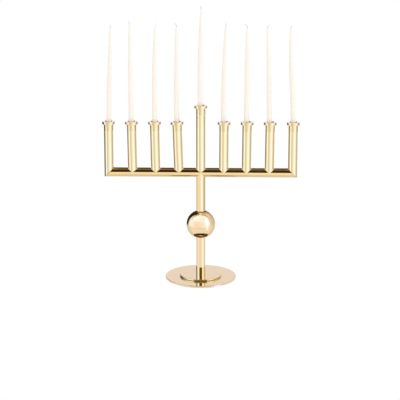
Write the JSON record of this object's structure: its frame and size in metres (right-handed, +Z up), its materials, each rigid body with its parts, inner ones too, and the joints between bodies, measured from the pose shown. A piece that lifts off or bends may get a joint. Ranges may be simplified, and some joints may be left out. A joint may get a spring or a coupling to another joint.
{
  "type": "menorah",
  "caption": "Polished brass menorah: a row of tubular candle holders on a cross bar, carried by a ball stem on a round base, with slim cream tapers in the cups",
  "frame": {"origin": "centre of the underside of the felt pad, where the menorah stands on the table", "axes": "+X along the row of candles, +Y to the back, +Z up"},
  "size_m": [0.3208, 0.1164, 0.4539],
  "materials": {
    "polished_brass": "mirror polished",
    "raw_brass": "turned, not polished",
    "steel": "plain zinc plated",
    "wax": "dipped wax, satin",
    "wick_cotton": "twisted cotton, waxed",
    "felt": "pressed wool felt"
  },
  "bodies": {
    "stand": {"felt_pad": "felt", "base_disc": "polished_brass", "step_plate": "polished_brass", "lower_stem": "polished_brass", "ball": "polished_brass", "upper_stem": "polished_brass", "stem_bung": "raw_brass", "tie_bolt": "steel", "cross_bar": "polished_brass", "candle_tube_1": "polished_brass", "candle_tube_2": "polished_brass", "candle_tube_3": "polished_brass", "candle_tube_4": "polished_brass", "candle_tube_5": "polished_brass", "candle_tube_6": "polished_brass", "candle_tube_7": "polished_brass", "candle_tube_8": "polished_brass", "candle_tube_9": "polished_brass", "candle_cup_1": "polished_brass", "candle_cup_2": "polished_brass", "candle_cup_3": "polished_brass", "candle_cup_4": "polished_brass", "candle_cup_5": "polished_brass", "candle_cup_6": "polished_brass", "candle_cup_7": "polished_brass", "candle_cup_8": "polished_brass", "candle_cup_9": "polished_brass"},
    "candle_1": {"taper_1": "wax", "wick_1": "wick_cotton"},
    "candle_2": {"taper_2": "wax", "wick_2": "wick_cotton"},
    "candle_3": {"taper_3": "wax", "wick_3": "wick_cotton"},
    "candle_4": {"taper_4": "wax", "wick_4": "wick_cotton"},
    "candle_5": {"taper_5": "wax", "wick_5": "wick_cotton"},
    "candle_6": {"taper_6": "wax", "wick_6": "wick_cotton"},
    "candle_7": {"taper_7": "wax", "wick_7": "wick_cotton"},
    "candle_8": {"taper_8": "wax", "wick_8": "wick_cotton"},
    "candle_9": {"taper_9": "wax", "wick_9": "wick_cotton"}
  },
  "joints": [
    {"name": "candle_1_lift", "type": "slide", "parent": "stand", "child": "candle_1", "axis": [0, 0, 1], "range_m": [0, 0.012]},
    {"name": "candle_2_lift", "type": "slide", "parent": "stand", "child": "candle_2", "axis": [0, 0, 1], "range_m": [0, 0.012]},
    {"name": "candle_3_lift", "type": "slide", "parent": "stand", "child": "candle_3", "axis": [0, 0, 1], "range_m": [0, 0.012]},
    {"name": "candle_4_lift", "type": "slide", "parent": "stand", "child": "candle_4", "axis": [0, 0, 1], "range_m": [0, 0.012]},
    {"name": "candle_5_lift", "type": "slide", "parent": "stand", "child": "candle_5", "axis": [0, 0, 1], "range_m": [0, 0.012]},
    {"name": "candle_6_lift", "type": "slide", "parent": "stand", "child": "candle_6", "axis": [0, 0, 1], "range_m": [0, 0.012]},
    {"name": "candle_7_lift", "type": "slide", "parent": "stand", "child": "candle_7", "axis": [0, 0, 1], "range_m": [0, 0.012]},
    {"name": "candle_8_lift", "type": "slide", "parent": "stand", "child": "candle_8", "axis": [0, 0, 1], "range_m": [0, 0.012]},
    {"name": "candle_9_lift", "type": "slide", "parent": "stand", "child": "candle_9", "axis": [0, 0, 1], "range_m": [0, 0.012]}
  ]
}
